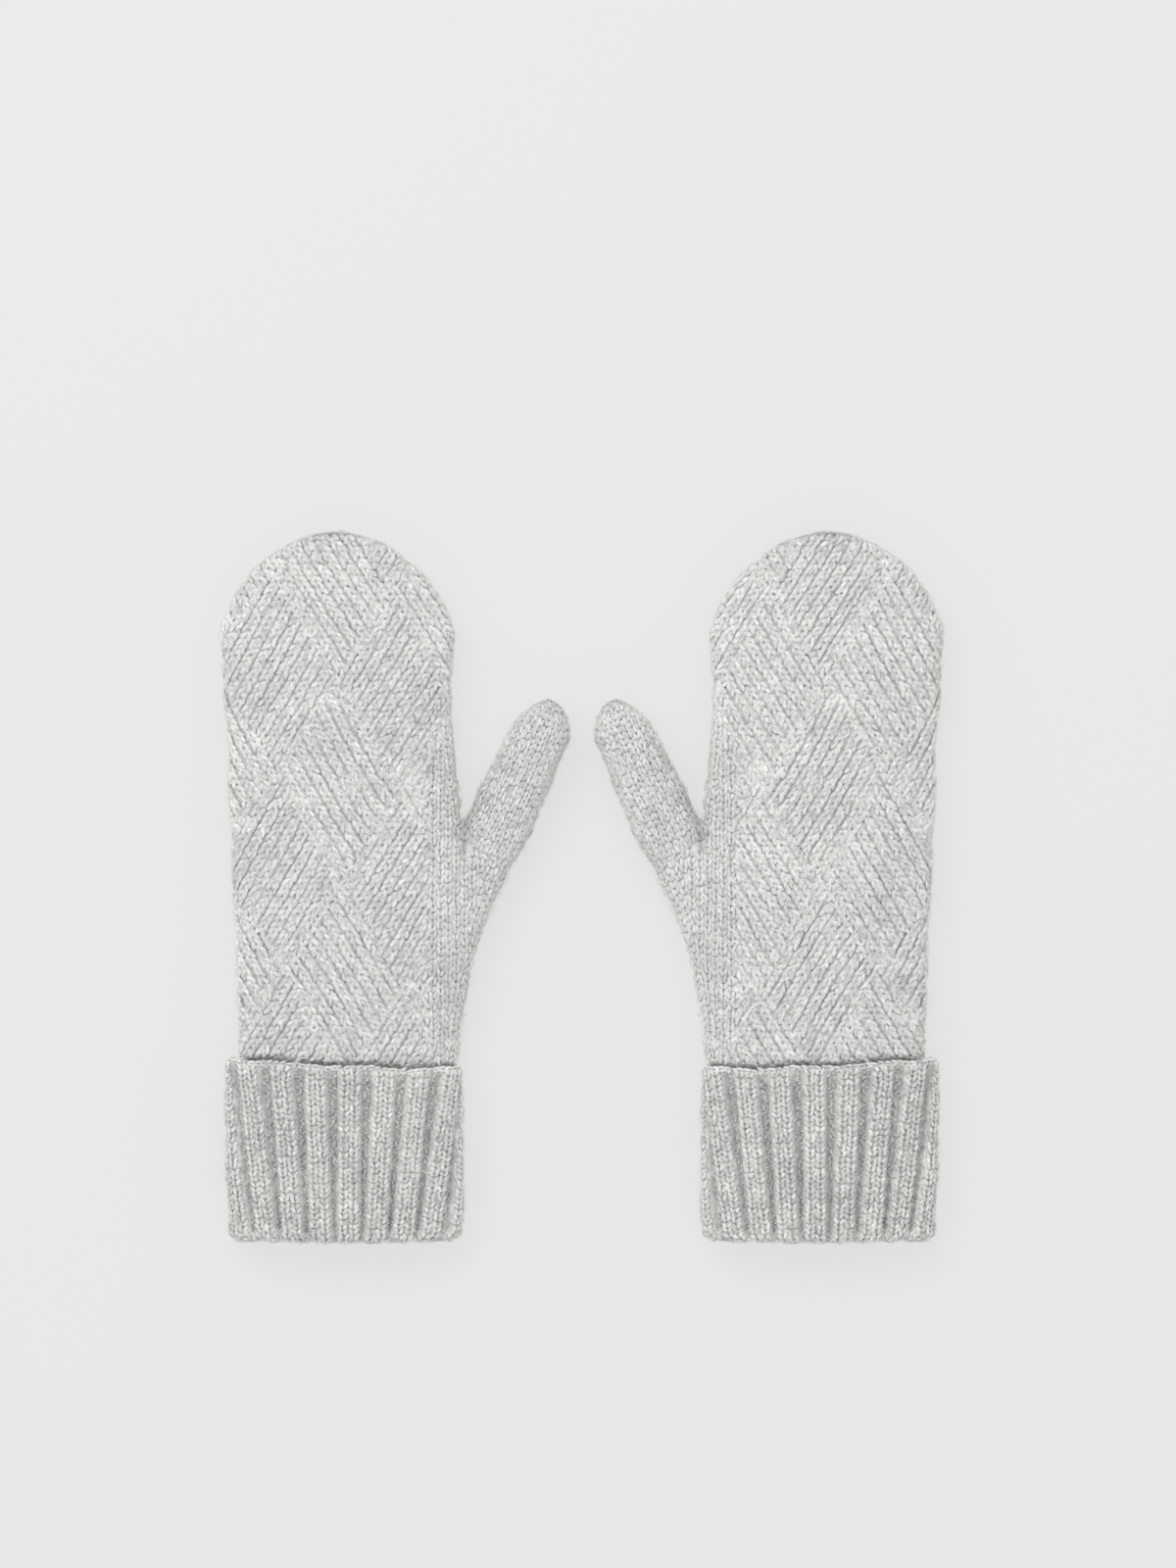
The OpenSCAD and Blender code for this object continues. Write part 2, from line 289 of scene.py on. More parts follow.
def crease(x, y):
    """The fold below the crotch, where the thumb parts from the hand: 1 along its middle."""
    along = ease((y - 11) / 5) * (1 - ease((y - 27) / 6))
    return along * np.exp(-((x - 50.8 - 0.1 * (y - 15)) / 2.2) ** 2)


def hand_rise(x, y):
    """Height of the back above the mitten's middle plane, with the gusset's swelling."""
    rise = wrist(x, y, BAND_H + 0.4, BACK_RISE) * dome(y, 2.2, 4.0) - YARN
    x = x - tip_shift(y)
    half = np.where(x < 0, outer_half(y), own_half(y)) * dome(y) - YARN
    own = np.maximum(rise, 0.2) * crown(x / np.maximum(half, 0.3))
    edge = thumb_half(y) - YARN
    inner = np.interp(y, [-46, 4, 24], [20, 27, 42])
    swell = (THUMB_RISE - 0.4 - YARN) * ease((y + 56) / 30) * (1 - ease((y - 17) / 8))
    puff = swell * crown((x - (edge + inner) / 2) / ((edge - inner) / 2))
    return (own ** 8 + np.maximum(puff, 0.01) ** 8) ** 0.125 - 2.2 * crease(x, y)


def hand_ring(y, angles, start=0.0):
    """A loop round the hand, from the middle of its back towards the thumb."""
    a = math.pi / 2 - angles - start
    c, s = np.cos(a), np.sin(a)
    half = np.where(c < 0, outer_half(y), thumb_half(y)) * dome(y) - YARN
    half = half - 2.5 * ease((HAND_Y + 1 - y) / 5)
    x = np.sign(c) * np.abs(c) ** (2 / ROUND) * np.maximum(half, 0.3) + tip_shift(y)
    drop = wrist(x, y, BAND_H + 0.4, MID_Z + 1.5) * dome(y, 2.2, 4.0) - YARN
    under = MID_Z - np.maximum(drop, 0.2) * np.abs(s) ** (2 / ROUND)
    z = np.where(s > 0, MID_Z + hand_rise(x, y), np.maximum(YARN, under))
    z = np.where(np.abs(s) < 1e-6, MID_Z, z)
    return np.stack([x, np.full_like(x, y), z], axis=-1)


def palm_ring(y, angles):
    """The same loop, from the middle of the palm."""
    return hand_ring(y, angles, math.pi)


def oval_ring(half, rise, drop, angles):
    """A flattened loop round the origin, from the top towards +x, flat underneath."""
    a = math.pi / 2 - angles
    c, s = np.cos(a), np.sin(a)
    x = np.sign(c) * np.abs(c) ** (2 / ROUND) * half
    z = np.abs(s) ** (2 / ROUND)
    return x, np.where(s > 0, MID_Z + z * rise, np.maximum(YARN, MID_Z - z * drop))


def thumb_width(t):
    """Half width and roundness of the thumb, t along it from its root."""
    w = np.interp(t, [THUMB_START, -10, 0, THUMB_LEN - THUMB_DOME],
                  [12.4, 14.9, THUMB_W, THUMB_TIP_W])
    return w, crown(np.maximum(0, t - THUMB_LEN + THUMB_DOME) / THUMB_DOME, 2.1)


def thumb_rise(t):
    """Height of the thumb above the middle plane."""
    return np.interp(t, [THUMB_START, -12, 4], [THUMB_RISE - 1.6, THUMB_RISE - 0.3, THUMB_RISE])


def thumb_drop(t):
    """Depth of the thumb below the middle plane: it starts inside the hand."""
    return (MID_Z + 1.5) * np.interp(t, [THUMB_START, -14, -6], [0.45, 0.72, 1.0])


def thumb_inner(t, w):
    """How much slimmer the thumb is on the side towards the hand."""
    slope = crown(np.maximum(0, t - THUMB_LEN + 26) / 32, 2.2)
    inset = 3.3 * ease((t + 14) / 12) + 1.0 * np.exp(-((t + 1) / 6) ** 2)
    return (1 - inset / w) * slope


def thumb_ring(t, angles):
    """A loop round the thumb, from its top towards its outer side."""
    squeeze = (THUMB_LEN - YARN) / THUMB_LEN if t > 0 else 1
    w, shrink = thumb_width(t)
    x, z = oval_ring(max(w * shrink - YARN, 0.2), max(thumb_rise(t) * shrink - YARN, 0.2),
                     max(thumb_drop(t) * shrink - YARN, 0.2), angles)
    x = np.where(x < 0, x * thumb_inner(t, w), x)
    centre = THUMB_ROOT + THUMB_AXIS * t * squeeze
    xy = centre + x[:, None] * THUMB_SIDE
    return np.concatenate([xy, z[:, None]], axis=1)


def cuff_path(t):
    """Where the cuff's layer lies at t, from inside the opening, round the roll and up outside.

    Gives the height and how far it lies inside the cuff's outer face.
    """
    if t < RETURN:
        return CUFF_FOLD + RETURN - t, 2 * ROLL_R
    if t < RETURN + TURN:
        a = (t - RETURN) / ROLL_R
        return CUFF_FOLD - ROLL_R * math.sin(a), ROLL_R * (1 + math.cos(a))
    return CUFF_FOLD + t - RETURN - TURN, 0.0


def cuff_ring(t, angles):
    """A loop round the cuff's layer at t, its upper edge wavy and its fold bowed."""
    y, inside = cuff_path(t)
    up = ease((y - CUFF_END) / (CUFF_TOP - CUFF_END))
    thin = inside + YARN
    x, z = oval_ring(CUFF_W - thin, CUFF_H - thin, CUFF_H - thin, angles)
    side = x / CUFF_W
    bow = (1 - side ** 4) * np.where(z > MID_Z, 1.2, 2.4) * (1 - up)
    y = y + (cuff_wave(side) * up * up if t > RETURN else 0) - bow
    return np.stack([x + CUFF_X, np.broadcast_to(y, x.shape), z], axis=-1)


def band_ring(y, angles):
    """A loop round the cuff's inner band."""
    thin = 2.0
    x, z = oval_ring(BAND_W - thin, BAND_H - thin, BAND_H - thin, angles)
    return np.stack([x + CUFF_X, np.full_like(x, y), z], axis=-1)


# --- yarn ---

class Yarn:
    """Collects closed yarn shapes and makes one mesh of them."""

    def __init__(self):
        self.verts, self.faces, self.strand, self.tone_and_shade = [], [], [], []
        self.count = 0

    def legs(self, surface, base, top, width=0.95, height=0.85, low=0.2, high=0.5, end=-0.3,
             sides=5, rings=3, lift=0.0, relief=None, bow=0.0, plies=0, shade=0.0):
        """Lays one leg of yarn from each base place to each top place on a surface.

        With plies, finer strands wind loosely over the leg's upper side.
        """
        n = len(base)
        if n == 0:
            return
        width = np.broadcast_to(width, (n,)) * rng.normal(1, 0.07, n)
        t = np.linspace(0.0, 1.0, rings + 2)
        place = base[:, None] + (top - base)[:, None] * t[None, :, None]
        step = unit(top - base)
        across = np.stack([-step[:, 1], step[:, 0]], axis=1)
        bent = np.broadcast_to(bow, (n,))[:, None] * np.sin(math.pi * t)
        place = place + across[:, None] * bent[..., None]
        pos, nrm = surface.at(place[..., 0], place[..., 1])
        arch = mix(low, end, t) + high * np.sin(math.pi * np.clip(t * 1.1, 0, 1)) ** 0.8
        arch = arch + rng.normal(0, 0.07, (n, 1)) + np.broadcast_to(lift, (n,))[:, None]
        if relief is not None:
            arch = arch + relief(place[..., 0], place[..., 1])
        core = pos + nrm * arch[..., None]
        tangent = unit(np.gradient(core, axis=1))
        side = unit(np.cross(nrm, tangent))
        up = np.cross(tangent, side)
        belly = np.sin(math.pi * np.clip(t * 0.92 + 0.04, 0, 1)) ** 0.55
        lumps = np.clip(rng.normal(1, 0.1, (n, rings, sides)), 0.75, 1.3)
        # Each leg is lighter or darker at random, and darker still by its painted shade.
        tone_and_shade = rng.uniform(0, 1, n) - shade
        radius = belly[None] * width[:, None]
        self.tube(core, side, up * height, radius[:, 1:-1, None] * lumps, tone_and_shade)
        for k in range(plies):
            turn = math.pi * (0.12 + 0.76 * (k + rng.uniform(0.1, 0.9, n)) / plies)
            turn = turn[:, None] + rng.normal(0, 0.55, (n, 1)) * (t - 0.5)
            out = radius * rng.uniform(0.78, 0.98, (n, 1)) * (1 - 0.5 * (2 * t - 1) ** 4)
            around = side * np.cos(turn)[..., None] + up * height * np.sin(turn)[..., None]
            fine = rng.uniform(0.2, 0.36, (n, 1, 1)) * width[:, None, None]
            self.tube(core + around * out[..., None], side, up, np.broadcast_to(fine, (n, rings, 3)),
                      tone_and_shade + rng.normal(0, 0.3, n))

    def tube(self, core, side, up, radius, tone_and_shade):
        """Closed tubes along lines of points, radius given at each inner point and each side."""
        n, rings, sides = radius.shape
        a = np.arange(sides) / sides * 2 * math.pi
        ring = core[:, 1:-1, None] + radius[..., None] * (
            side[:, 1:-1, None] * np.cos(a)[None, None, :, None]
            + up[:, 1:-1, None] * np.sin(a)[None, None, :, None])
        verts = np.concatenate([core[:, :1], ring.reshape(n, -1, 3), core[:, -1:]], axis=1)
        along = np.linalg.norm(core[:, -1] - core[:, 0], axis=1)
        strand = np.zeros((n, verts.shape[1], 3))
        strand[:, 1:-1, 0] = np.tile(np.cos(a), rings)
        strand[:, 1:-1, 1] = np.tile(np.sin(a), rings)
        t = np.linspace(0, 1, rings + 2)
        steps = np.concatenate([[0], np.repeat(t[1:-1], sides), [1]])
        strand[:, :, 2] = steps[None] * along[:, None]
        strand += rng.uniform(0, 400, n)[:, None, None]
        self.verts.append(verts.reshape(-1, 3))
        self.strand.append(strand.reshape(-1, 3))
        self.tone_and_shade.append(np.repeat(tone_and_shade, verts.shape[1]))
        offsets = self.count + np.arange(n) * verts.shape[1]
        faces = leg_faces(sides, rings)
        self.faces.append((faces[None] + offsets[:, None, None]).reshape(-1, 3))
        self.count += n * verts.shape[1]

    def parts(self):
        return (np.concatenate(self.verts), np.concatenate(self.faces),
                np.concatenate(self.strand), np.concatenate(self.tone_and_shade))


def leg_faces(sides, rings):
    """Triangles of a tube with a point at each end."""
    faces = []
    last = 1 + rings * sides
    for k in range(sides):
        nxt = (k + 1) % sides
        faces.append((0, 1 + nxt, 1 + k))
        faces.append((last, last - sides + k, last - sides + nxt))
        for r in range(rings - 1):
            a, b = 1 + r * sides + k, 1 + r * sides + nxt
            faces.append((a, b, b + sides))
            faces.append((a, b + sides, a + sides))
    return np.array(faces)


def stitches(yarn, surface, places, up, pitch, row, tall=1.7, wide=0.51, foot=0.08, proud=0,
             lift=0.0, **look):
    """A V of two legs at each place, its point down against the up direction.

    One of the legs may stand proud of the other.
    """
    n = len(places)
    if n == 0:
        return
    turn = rng.normal(0, 0.08, n)
    c, s = np.cos(turn), np.sin(turn)
    up = np.stack([up[:, 0] * c - up[:, 1] * s, up[:, 0] * s + up[:, 1] * c], axis=1)
    across = np.stack([up[:, 1], -up[:, 0]], axis=1)
    pitch = np.broadcast_to(pitch, (n,))[:, None]
    base = places + rng.normal(0, 0.18, (n, 2)) - up * row * tall / 2
    lift = lift + rng.normal(0, 0.1, n)
    for hand in (-1, 1):
        reach = tall * rng.normal(1, 0.08, (n, 1))
        low = base + across * hand * pitch * foot
        high = base + across * hand * pitch * wide + up * row * reach
        yarn.legs(surface, low, high, lift=lift + 0.2 * hand * proud, **look)


def fuzz(surface, count, first, last, relief, hidden=None):
    """Loose fibres: fine curved hairs standing a little off the yarn."""
    yarn = Yarn()
    l = rng.uniform(first, last, count)
    s = rng.uniform(-0.5, 0.5, count) * surface.girth_at(l)
    places = np.stack([s, l], axis=1)
    if hidden is not None:
        points, _ = surface.at(s, l)
        places = places[~hidden(points)]
    n = len(places)
    angle = rng.normal(0, 0.6, n)
    half = rng.uniform(1.6, 4.5, n) / 2
    step = np.stack([np.sin(angle), np.cos(angle)], axis=1) * half[:, None]
    yarn.legs(surface, places - step, places + step, width=rng.uniform(0.05, 0.09, n), height=1.0,
              low=0.6, end=rng.uniform(0.4, 2.0, (n, 1)), high=0.5, lift=rng.normal(0.1, 0.2, n),
              relief=relief, bow=rng.normal(0, 0.4, n), sides=3, rings=2)
    return yarn.parts()


def column(s, rows, slope=0.0):
    """Places and up directions along one wale, s given at each of its rows."""
    s = np.broadcast_to(s, rows.shape)
    lean = np.broadcast_to(slope, rows.shape)
    return np.stack([s, rows], axis=1), unit(np.stack([lean, np.ones_like(rows)], axis=1))


# --- the back's pattern: slanted patches in two directions, on an oblique lattice ---

# A corner where patches meet, and the two sides of one patch.
PATCH_O = np.array([0.0, 84.0])
PATCH_A = np.array([24.6, -45.0])
PATCH_B = np.array([-23.2, -36.0])
# A patch's wales lie this far apart across the hand, and step sideways at each row.
PATCH_WALE = 5.84
PATCH_ROW = 2.5
PATCH_STEP = 1.46
# Width and height of one of its stitches, square to its own wale.
ROPE_WALE = 5.05
ROPE_ROW = 2.9
# Plain stitches, and how far round from the middle of the back the plain columns begin.
WALE = 3.2
ROW = 2.7
PLAIN_S = 36.8
PLAIN_LOOK = {"low": -0.15, "high": 0.6, "plies": 4}


def plain_from(y):
    """Where the plain columns on the thumb's side begin: the edge of a whole column."""
    return PLAIN_S + WALE * np.round(14 * ease((y - 50) / 35) / WALE)


def patch_cell(s, y):
    """Fractional lattice coordinates of a place on the back. Patches narrow at the outer edge."""
    inverse = np.linalg.inv(np.stack([PATCH_A, PATCH_B], axis=1))
    s = np.where(s < -24, -24 + (s + 24) * 0.75, s)
    return np.tensordot(inverse, np.stack([s - PATCH_O[0], y - PATCH_O[1]]), axes=1)


def leans_right(s, y):
    """True where a patch's wales run down towards the thumb, in alternate cells of the lattice.

    Beside the plain columns such patches shrink to a strip.
    """
    p, q = patch_cell(s, y)
    even = (np.floor(p) + np.floor(q)) % 2 == 0
    strip = (p - q < 1) | (q - np.floor(q) > 0.8)
    return even & ((s < 20) | strip | (y > PATCH_O[1]))


def patch_places(surface, lean, first, last, aside=0.0):
    """Every stitch of the patches that lean that way between two lengths, and its up direction.

    They reach a little over the border to the next patch.
    """
    rows = np.arange(int(surface.length / PATCH_ROW) + 1)
    wales = np.arange(-60, 61)
    m, k = np.meshgrid(wales, rows)
    l = 1.0 + PATCH_ROW * k.ravel()
    s = PATCH_WALE * m.ravel() - lean * PATCH_STEP * k.ravel() + 1.2 + aside
    s = s + 0.8 * ripple(s, l, 70, 5)
    keep = np.zeros(len(s), bool)
    for over in (-1.1, 0.0, 1.1):
        keep |= leans_right(s + over, l + HAND_START) == (lean > 0)
    keep &= (l >= first) & (l < min(last, surface.length - 1.5))
    keep &= s < plain_from(l + HAND_START) - 0.2
    keep &= (s < surface.right_at(l) + 0.3) & (s > -surface.left_at(l) - 0.3)
    places = np.stack([s, l], axis=1)[keep]
    up = unit(np.array([[-lean * PATCH_STEP, PATCH_ROW]]))
    return places, np.repeat(up, len(places), axis=0)


def patch_relief(s, l):
    """Patches puff up a little between their borders, which sink in."""
    p, q = patch_cell(s, l + HAND_START)
    p, q = p - np.floor(p), q - np.floor(q)
    puff = (1 - (2 * p - 1) ** 6) * (1 - (2 * q - 1) ** 6)
    return 0.4 * puff - 0.15 + 0.25 * ripple(s, l, 26, 3)


def plain_relief(s, l):
    """The hand's plain knitting is only a little uneven."""
    return 0.25 * ripple(s, l, 26, 4)


def thumb_relief(s, l):
    """The thumb's is uneven in shorter waves."""
    return 0.3 * ripple(s, l, 22, 8)


def along_thumb(points):
    """How far places are along the thumb from its root, and across it towards its outer side."""
    from_root = points[:, :2] - THUMB_ROOT
    return from_root @ THUMB_AXIS, from_root @ THUMB_SIDE


def beyond_seam(points, more=0.5):
    """True where a point lies past the line where the thumb's own knitting begins."""
    return along_thumb(points)[0] > THUMB_SEAM + more


def covered_by_thumb(points):
    """True where the hand's surface is hidden inside the thumb, or the thumb grows out of it."""
    x, y, z = points.T
    t, across = along_thumb(points)
    w, _ = thumb_width(t)
    top = MID_Z + thumb_rise(t) * crown(across / w) - YARN
    inside = (across > 0.7 - w * thumb_inner(t, w)) & (across < w)
    inside &= (t > THUMB_SEAM + 2) & (t < THUMB_LEN - THUMB_DOME)
    inside &= (z < top - 0.4) | (z < MID_Z + 2)
    return inside | (beyond_seam(points) & (x > own_half(y) - 2) & (y < CROTCH[1] - 2))


def under_hand(points):
    """True where the thumb's surface is hidden inside the hand."""
    x, y, z = points.T
    inside = (x < own_half(y) - 1) & (y < 60)
    return inside & ((z < MID_Z + hand_rise(x, y) - 0.4) | (z < MID_Z + 2))


def shadowed(parts):
    """Paints shade into the yarn a little in the fold below the crotch, and on the thumb's inner
    side.
    """
    verts, faces, strand, tone_and_shade = parts
    x, y, z = verts.T
    t, across = along_thumb(verts)
    inner = ease((-across - 5.5) / 6) * (across > -15)
    inner = inner * ease((t + 9) / 8) * (1 - ease((t - 14) / 26))
    dark = 3.0 * crease(x, y) + 1.6 * inner
    return verts, faces, strand, tone_and_shade - dark * (z > MID_Z)


def make_patches(surface, leans, first, last):
    """Patches of rope-like wales, with a lower stitch between each two wales."""
    yarn = Yarn()
    for lean in leans:
        places, up = patch_places(surface, lean, first, last)
        stitches(yarn, surface, places, up, ROPE_WALE, ROPE_ROW, tall=1.9, foot=0.13, wide=0.37,
                 width=0.9, relief=patch_relief, proud=-lean, plies=4)
        places, up = patch_places(surface, lean, first, last, PATCH_WALE / 2)
        stitches(yarn, surface, places, up, ROPE_WALE, ROPE_ROW, tall=1.5, foot=0.03, wide=0.13,
                 width=0.7, relief=patch_relief, lift=-0.1, plies=1, sides=4)
    return yarn.parts()


def make_columns(surface):
    """Plain wales beside the thumb: upright ones, and ones that follow the gusset's edge."""
    yarn = Yarn()
    rows = np.arange(1.0, surface.length - 1, ROW)
    right = surface.right_at(rows)
    middle = np.where(right > 58, 44 + (right - 44) / 2, right - 5.5)
    plain = plain_from(rows + HAND_START)
    for k in range(14):
        upright = np.full(len(rows), PLAIN_S + WALE * (k + 0.5))
        outer = right - WALE * (k + 0.3)
        for s, keep in ((upright, (upright > plain) & (upright < middle)),
                        (outer, (outer > middle + 0.9) & (outer > plain))):
            places, up = column(s, rows + rng.uniform(-1, 1), np.gradient(s, rows))
            points, _ = surface.at(*places.T)
            keep = keep & ~covered_by_thumb(points)
            stitches(yarn, surface, places[keep], up[keep], WALE, ROW, width=0.72,
                     relief=plain_relief, **PLAIN_LOOK)
    return yarn.parts()


# The palm's stitches are a little larger.
PALM_WALE = 3.35
PALM_ROW = 2.75


def make_palm(surface):
    """Plain wales over the whole palm, between the edges of the hand."""
    yarn = Yarn()
    rows = np.arange(1.0, surface.length - 1, PALM_ROW)
    for k in range(-24, 24):
        s = PALM_WALE * (k + 0.5)
        places, up = column(s, rows)
        keep = (s < surface.right_at(rows) - 0.5) & (s > -surface.left_at(rows) + 0.5)
        points, _ = surface.at(*places.T)
        keep = keep & ~covered_by_thumb(points)
        stitches(yarn, surface, places[keep], up[keep], PALM_WALE, PALM_ROW, width=0.82,
                 relief=plain_relief)
    return yarn.parts()


# The thumb's wales: this many where its girth is nearly full, and fewer round its tip.
THUMB_WALES = 25
THUMB_TIP_WALES = 14
THUMB_NARROW = 0.62


def make_thumb(surface):
    """Plain wales all round the thumb, from the seam with the hand to the tip."""
    yarn = Yarn()
    rows = np.arange(1.0, surface.length - 2.2, ROW)
    girth = surface.girth_at(rows)
    narrow = girth <= THUMB_NARROW * girth.max()
    tip = narrow & (rows > surface.length / 2)
    for count, part in ((THUMB_WALES, rows[~narrow]), (THUMB_TIP_WALES, rows[tip])):
        pitch = surface.girth_at(part) / count
        for k in range(count):
            s = pitch * (k + 0.5 - count / 2)
            places, up = column(s, part + rng.uniform(-1, 1), np.gradient(s, part))
            points, _ = surface.at(*places.T)
            keep = beyond_seam(points, -1.2) & ~under_hand(points)
            stitches(yarn, surface, places[keep], up[keep], pitch[keep], ROW, width=0.74,
                     relief=thumb_relief, **PLAIN_LOOK)
    return yarn.parts()


# --- the cuff ---

# Out to this share of the half girth the ribs are a fan, and beyond it they are evenly spaced.
FAN_REACH = 0.45
# Rows and wales of the ribs, and the half width over which a rib rounds off into its groove.
RIB_ROW = 2.08
RIB_WALE = 4.0
RIB_HALF_W = 5.1


def fan(l):
    """How much wider than average the ribs are at the cuff's middle: they open towards its top."""
    up = np.clip((l - RETURN - TURN) / (CUFF_RUN - RETURN - TURN), 0, 1)
    return mix(-0.13, 0.10, up)


def rib_place(r, l, girth):
    """The arc length of rib number r at l."""
    x = (r + RIB_SHIFT) / (RIBS / 2)
    bend = FAN_REACH * (1 + fan(l))
    far = bend + (np.abs(x) - FAN_REACH) * (1 - bend) / (1 - FAN_REACH)
    return girth / 2 * np.where(np.abs(x) < FAN_REACH, x * (1 + fan(l)), np.sign(x) * far)


def rib_number(s, l, girth):
    """The rib number at a place, a fraction between ribs, and the ribs' pitch there."""
    v = s / (girth / 2)
    bend = FAN_REACH * (1 + fan(l))
    slow = (1 - bend) / (1 - FAN_REACH)
    near = np.abs(v) < bend
    x = np.where(near, v / (1 + fan(l)), np.sign(v) * (FAN_REACH + (np.abs(v) - bend) / slow))
    return x * RIBS / 2 - RIB_SHIFT, girth / RIBS * np.where(near, 1 + fan(l), slow)


def rib_relief(surface, depth, soft=0.3, edge=8.0):
    """Rounded ribs with narrow deep grooves, shallow at the fold and at the surface's end."""
    def relief(s, l):
        r, pitch = rib_number(s, l, surface.girth_at(l))
        off = np.abs(r - np.round(r)) * pitch
        full = 1 - 0.7 * ease((l - surface.length + edge) / (edge - 1))
        full = full * (1 - 0.6 * np.exp(-((l - FOLD_L) / (TURN / 2)) ** 4))
        return soft * ripple(s, l, 30, 12) - depth * full * (1 - crown(off / RIB_HALF_W, 2.6))
    return relief


def make_ribbing(surface, start, end, relief, plies=3, shade=0.0):
    """Two knit wales on each rib, and small purl bumps in each groove, painted darker as painted
    shade in the grooves. The shade argument darkens the knit stitches too, as painted shade.
    """
    yarn = Yarn()
    rows = np.arange(start, end, RIB_ROW)
    girth = surface.girth_at(rows)
    for rib in range(RIBS):
        r = rib - RIBS / 2
        centre = rib_place(r, rows, girth)
        slope = np.gradient(centre, rows)
        fine = plies if abs(centre[0]) < girth[0] * 0.3 else 0
        for hand in (-1, 1):
            places, up = column(centre + hand * RIB_WALE / 2, rows, slope)
            stitches(yarn, surface, places, up, RIB_WALE, RIB_ROW, tall=1.65, wide=0.5, foot=0.06,
                     width=0.78, low=-0.05, high=0.5, relief=relief, plies=fine, shade=shade)
        valley = rib_place(r + 0.5, rows, girth)
        gap = rib_place(r + 1, rows, girth) - centre - 8.2
        for part in (0.0, 0.33, 0.67):
            turn = rng.normal(0, 0.6, len(rows))
            bump = np.stack([np.cos(turn), np.sin(turn)], axis=1) * gap[:, None] * 0.2
            aside = gap * rng.uniform(-0.27, 0.27, len(rows))
            middle = np.stack([valley + aside, rows + part * RIB_ROW], axis=1)
            yarn.legs(surface, middle - bump, middle + bump, width=0.46, low=-0.1, end=-0.1,
                      high=0.4, relief=relief, bow=0.3, sides=4, shade=0.9)
    return yarn.parts()


# How wide an edge's chain stitches are, and how long those of the cuff's edge are.
CHAIN_W = 2.2
CHAIN_STEP = 2.6


def make_edge(surface, l, step, width=0.6, relief=None):
    """A cast-off chain lying along a row."""
    yarn = Yarn()
    girth = float(surface.girth_at(l))
    count = int(girth / step)
    s = (np.arange(count) - count / 2) * girth / count
    places = np.stack([s, np.full(count, l)], axis=1)
    up = np.repeat([[1.0, 0.0]], count, axis=0)
    stitches(yarn, surface, places, up, CHAIN_W, girth / count, tall=1.5, width=width,
             relief=relief, plies=2)
    return yarn.parts()


def make_top_edge(surface, relief):
    """The cuff's cast-off edge, and behind it, on the inner rim of the cuff, a chain painted dark:
    painted shade in the crevice between the cuff and the hand.
    """
    front = make_edge(surface, CUFF_RUN - 0.5, CHAIN_STEP, 0.55, lambda s, l: relief(s, l) - 0.5)
    shade_chain = make_edge(surface, CUFF_RUN - 0.1, CHAIN_STEP, 0.62, lambda s, l: relief(s, l) - 1.7)
    verts, _, _, tone_and_shade = shade_chain
    low, high = OPENING_X
    behind = ease((verts[:, 0] - low) / 3) * ease((high - verts[:, 0]) / 3)
    # Where the hand lies behind it, the chain moves up a little and is painted dark as the crevice's
    # shade.
    verts[:, 1] += 1.1 * behind
    tone_and_shade -= 5 * behind
    verts, faces, strand, tone_and_shade = (np.concatenate(both) for both in zip(front, shade_chain))
    faces[len(front[1]):] += len(front[0])
    return verts, faces, strand, tone_and_shade


# --- materials ---

